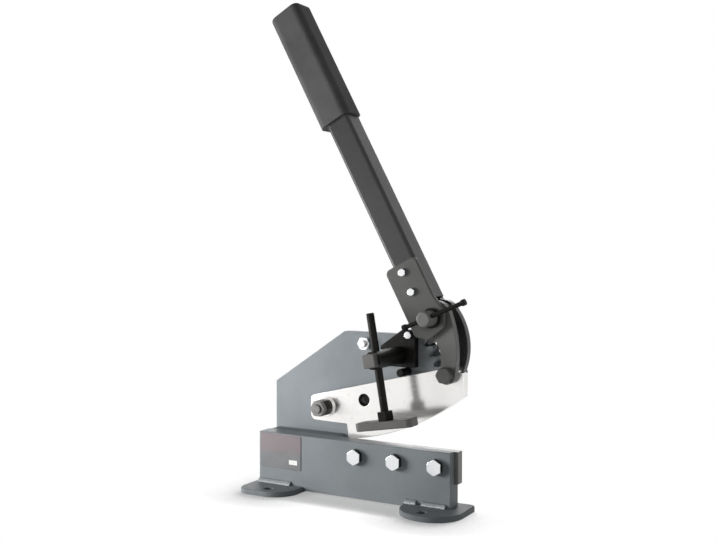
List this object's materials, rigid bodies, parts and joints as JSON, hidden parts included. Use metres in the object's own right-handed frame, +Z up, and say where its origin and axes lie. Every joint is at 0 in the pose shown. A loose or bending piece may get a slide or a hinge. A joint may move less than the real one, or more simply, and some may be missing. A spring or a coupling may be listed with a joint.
{
  "type": "bench lever shear",
  "caption": "Bench lever shear: a geared hand lever swings a pivoting upper blade past a bolted lower blade, with an adjustable hold-down and flat mounting feet.",
  "frame": {"origin": "on the floor, midway between the two front mounting holes", "axes": "+X to the right along the frame, towards the mouth; +Y to the back, from the front plate to the back plate; +Z up"},
  "size_m": [0.278, 0.126, 0.5741],
  "materials": {
    "frame_paint": "satin blue-grey paint",
    "blade_steel": "ground and polished",
    "zinc": "bright zinc plate",
    "foot_paint": "satin dark blue-grey paint",
    "weld_paint": "thin paint on weld metal",
    "arm_paint": "satin grey paint",
    "lever_paint": "satin dark grey paint",
    "grip": "matt",
    "bush": "bored and reamed",
    "dull_steel": "plain dull steel",
    "black_oxide": "black oxide"
  },
  "bodies": {
    "frame": {"front_plate": "frame_paint", "left_foot": "foot_paint", "right_foot": "foot_paint", "foot_welds": "weld_paint", "spacer_block": "foot_paint", "back_plate": "frame_paint", "frame_bolts": "zinc", "lower_blade": "dull_steel", "lower_blade_bolts": "zinc", "bar_die": "black_oxide", "blade_stop_pin": "black_oxide", "pivot_bolt": "dull_steel", "pivot_collar": "blade_steel", "pivot_washer": "blade_steel", "pivot_nut": "dull_steel", "pivot_lock_nut": "dull_steel", "hold_down_bracket": "black_oxide", "bracket_bolt": "zinc", "plate_bolt": "zinc", "plate_nut": "zinc"},
    "blade": {"upper_blade": "blade_steel", "pivot_bush": "bush", "front_arm": "arm_paint", "rear_arm": "lever_paint", "arm_bolt": "arm_paint", "arm_washers": "arm_paint", "arm_nut": "dull_steel", "arm_dowels": "blade_steel", "arm_bushes": "bush", "hinge_collar": "blade_steel"},
    "lever": {"front_strap": "arm_paint", "sector_plate": "lever_paint", "lever_tube": "lever_paint", "lever_grip": "grip", "lever_bolts": "zinc", "lever_nuts": "zinc", "hinge_pin": "blade_steel", "lock_washer": "black_oxide"},
    "lock_nut": {"lock_nut": "arm_paint"},
    "tommy_bar": {"tommy_bar": "black_oxide", "tommy_knobs": "black_oxide"},
    "hold_down": {"hold_down_bar": "black_oxide", "bar_washer": "black_oxide", "bar_nut": "dull_steel"},
    "hold_down_rod": {"hold_down_rod": "black_oxide", "hold_down_foot": "black_oxide", "foot_nut": "black_oxide"},
    "clamp_screw": {"clamp_screw": "dull_steel"}
  },
  "joints": [
    {"name": "blade_pivot", "type": "hinge", "parent": "frame", "child": "blade", "pos_m": [-0.0495, 0.0522, 0.099], "axis": [0, 1, 0], "range_deg": [0, 20.15]},
    {"name": "lever_swing", "type": "hinge", "parent": "blade", "child": "lever", "pos_m": [0.09489, 0.0522, 0.20979], "axis": [0, 1, 0], "range_deg": [0, 81.7]},
    {"name": "lock_nut_turn", "type": "hinge", "parent": "lever", "child": "lock_nut", "pos_m": [0.09489, 0.02, 0.20979], "axis": [0, 1, 0], "range_deg": [-120, 30]},
    {"name": "tommy_bar_slide", "type": "slide", "parent": "lock_nut", "child": "tommy_bar", "axis": [0.9205, 0, 0.3907], "range_m": [-0.035, 0.013]},
    {"name": "hold_down_swivel", "type": "hinge", "parent": "frame", "child": "hold_down", "pos_m": [0.041, 0.052, 0.1637], "axis": [0, 1, 0], "range_deg": [-3, 22]},
    {"name": "hold_down_slide", "type": "slide", "parent": "hold_down", "child": "hold_down_rod", "axis": [-0.1702, 0, 0.9854], "range_m": [-0.01, 0.025]},
    {"name": "clamp_screw_turn", "type": "hinge", "parent": "hold_down", "child": "clamp_screw", "pos_m": [0.041, -0.003, 0.1637], "axis": [0, 1, 0], "range_deg": [-90, 90]}
  ],
  "couplings": [
    {"joint": "blade_pivot", "follows": "lever_swing", "ratio": 0.24658}
  ]
}
